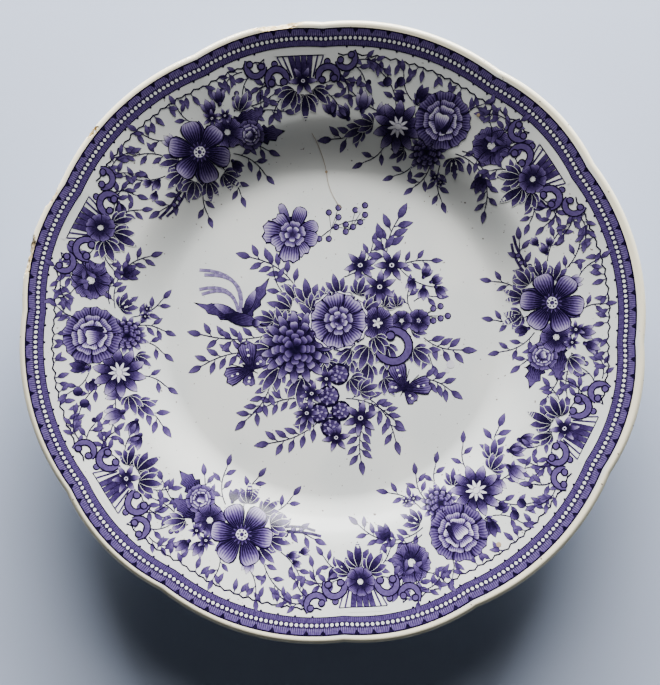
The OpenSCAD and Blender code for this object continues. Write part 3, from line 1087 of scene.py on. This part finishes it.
# %% Ink
def ink_material(name, lines):
    look, tree, shader = material(name)
    place, paper = glaze_colour(tree)
    uv = node(tree, "ShaderNodeSeparateXYZ", {0: node(tree, "ShaderNodeUVMap", uv_map="UVMap").outputs[0]})
    style = node(tree, "ShaderNodeAttribute", attribute_name=TONE)
    parts = node(tree, "ShaderNodeSeparateColor", {0: style.outputs["Color"]})
    across = maths(tree, "ABSOLUTE", maths(tree, "MULTIPLY_ADD", uv.outputs[0], 2.0, -1.0))
    along = uv.outputs[1]
    way = ramp(tree, along, 0.1, 0.95)
    root = maths(tree, "MULTIPLY", parts.outputs[0], maths(tree, "SUBTRACT", 1.0, way))
    tip = maths(tree, "MULTIPLY", parts.outputs[1], way)
    tone = maths(tree, "ADD", root, tip)
    wave = maths(tree, "SINE", maths(tree, "MULTIPLY", uv.outputs[0], 2 * math.pi * lines))
    fade = maths(tree, "MULTIPLY_ADD", along, -0.3, 0.4)
    tone = maths(tree, "MULTIPLY_ADD", maths(tree, "MULTIPLY", wave, style.outputs["Alpha"]), fade, tone)
    blot = maths(tree, "MULTIPLY_ADD", noise(tree, place, 900.0, 3.0), 0.5, -0.25)
    tone = maths(tree, "ADD", tone, maths(tree, "MULTIPLY", blot, maths(tree, "MINIMUM", tone, 1.0)))
    side = ramp(tree, across, 0.74, 0.92)
    end = ramp(tree, along, 0.9, 0.97)
    edge = maths(tree, "MULTIPLY", maths(tree, "MAXIMUM", side, end), parts.outputs[2])
    tone = maths(tree, "MAXIMUM", tone, edge)
    colours = node(tree, "ShaderNodeValToRGB", {0: tone})
    band = colours.color_ramp
    while len(band.elements) < len(INK):
        band.elements.new(0.5)
    for element, (at, colour) in zip(band.elements, INK):
        element.position = at
        element.color = colour
    tint = blend(tree, ramp(tree, tone, 0.0, 0.12), paper, colours.outputs[0])
    tree.links.new(tint, shader.inputs["Base Color"])
    gloss(shader)
    return look


ink_look = ink_material("violet ink under glaze", 8.0)
band_look = ink_material("violet border ink under glaze", 300.0)
rust_look, tree, shader = material("rust in the glaze")
shader.inputs["Base Color"].default_value = linear(158, 138, 112)
gloss(shader)
marks_piece.data.materials.append(rust_look)
clay.data.materials.append(clay_look)
glaze.data.materials.clear()
glaze.data.materials.append(glaze_look)
for obj in prints.values():
    obj.data.materials.append(ink_look)
    obj.data.materials.append(band_look)

# %% Hand the pieces to the frame
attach(marks_piece, "root")
pieces = {"clay_body": clay, "glaze": glaze, **prints}
for name, piece in pieces.items():
    if name in ("clay_body", "glaze"):
        only(piece)
        bpy.ops.object.shade_smooth_by_angle(angle=math.radians(40))
    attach(piece, "root")
    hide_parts(name)

# %% [markdown]
# ## The table, the light and the camera
#
# The plate lies on a pale sheet and is seen from almost straight above. One wide, soft light stands low
# beyond the far edge, as a window would, with a much weaker one above it, and the far wall of the dish
# falls into its own shade.

# %% Floor
bpy.ops.mesh.primitive_plane_add(size=6)
floor = bpy.context.object
floor.name = "floor"
floor_look, tree, shader = material("pale paper")
shader.inputs["Base Color"].default_value = linear(184, 194, 214)
shader.inputs["Roughness"].default_value = 0.7
floor.data.materials.append(floor_look)

# %% Light
def aim(obj, target):
    obj.rotation_euler = (Vector(target) - obj.location).to_track_quat("-Z", "Y").to_euler()


def area(name, azimuth, elevation, distance, wide, tall, power, colour):
    a, e = math.radians(azimuth), math.radians(elevation)
    flat = distance * math.cos(e)
    where = [flat * math.cos(a), flat * math.sin(a), distance * math.sin(e)]
    bpy.ops.object.light_add(type="AREA", location=where)
    lamp = bpy.context.object
    lamp.name = name
    lamp.data.shape = "RECTANGLE"
    lamp.data.size = wide
    lamp.data.size_y = tall
    lamp.data.energy = power
    lamp.data.color = colour
    aim(lamp, (0, 0, 0))


area("window", 87, 16.8, 1.3, 1.4, 0.26, 122, (0.97, 0.98, 1.0))
area("upper pane", 85, 36, 1.3, 1.2, 0.16, 11, (0.97, 0.98, 1.0))
world = bpy.data.worlds.new("room")
bpy.context.scene.world = world
world.use_nodes = True
sky = world.node_tree.nodes["Background"]
sky.inputs["Color"].default_value = (0.80, 0.86, 1.0, 1)
sky.inputs["Strength"].default_value = 0.05

# %% Camera
TARGET = Vector((-1.2 * MM, -6.5 * MM, 27 * MM))
ELEVATION = math.radians(85.5)
DISTANCE = 0.525
toward_camera = Vector((0, -math.cos(ELEVATION), math.sin(ELEVATION)))
bpy.ops.object.camera_add(location=TARGET + DISTANCE * toward_camera)
camera = bpy.context.object
camera.data.sensor_fit = "HORIZONTAL"
camera.data.angle = math.radians(28)
aim(camera, TARGET)
bpy.context.scene.camera = camera
